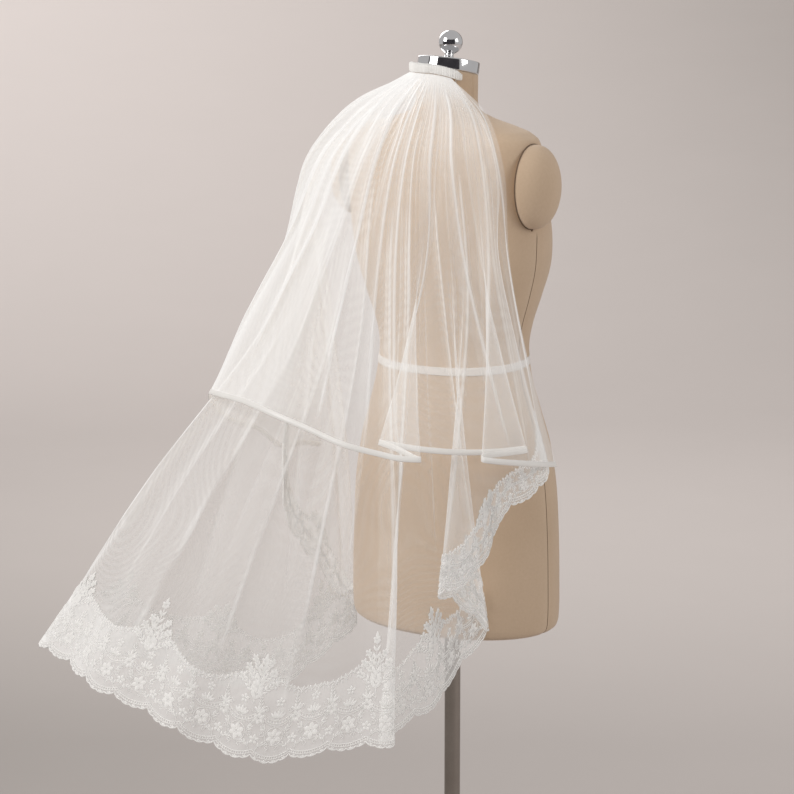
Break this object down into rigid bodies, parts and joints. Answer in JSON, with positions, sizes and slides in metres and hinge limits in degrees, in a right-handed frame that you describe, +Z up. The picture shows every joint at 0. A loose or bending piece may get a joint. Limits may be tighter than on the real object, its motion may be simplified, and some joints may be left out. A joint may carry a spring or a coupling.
{
  "type": "two-tier bridal veil on a dress form",
  "caption": "Fingertip-length tulle veil in two gathered tiers on a comb, ribbon-edged above and scalloped lace below, draped down the back of a limbless dress form.",
  "frame": {"origin": "centre of the base's flat underside, below the pole", "axes": "+Z up; the form faces +Y, the veil hangs down its back toward -Y, and the form's right side is +X"},
  "size_m": [0.732, 0.7049, 1.555],
  "materials": {
    "tulle": "fine soft net, ivory",
    "lace": "corded embroidery on fine net, ivory",
    "ribbon": "satin, ivory",
    "binding": "matt bound heading, ivory",
    "comb_metal": "plain wire",
    "linen": "plain-weave linen cover, natural",
    "tape": "woven cotton tape",
    "chrome": "polished"
  },
  "bodies": {
    "root": {"veil_upper_tier": "tulle", "veil_lower_tier": "tulle", "ribbon_edge": "ribbon", "lace_edge": "lace", "heading_band": "binding", "comb_spine": "comb_metal", "torso": "linen", "arm_plate_right": "linen", "arm_plate_left": "linen", "waist_tape": "tape", "neck_cap": "chrome", "finial": "chrome", "base": "chrome", "pole": "chrome", "comb_tooth_00": "comb_metal", "comb_tooth_01": "comb_metal", "comb_tooth_02": "comb_metal", "comb_tooth_03": "comb_metal", "comb_tooth_04": "comb_metal", "comb_tooth_05": "comb_metal", "comb_tooth_06": "comb_metal", "comb_tooth_07": "comb_metal", "comb_tooth_08": "comb_metal", "comb_tooth_09": "comb_metal", "comb_tooth_10": "comb_metal"}
  },
  "joints": []
}
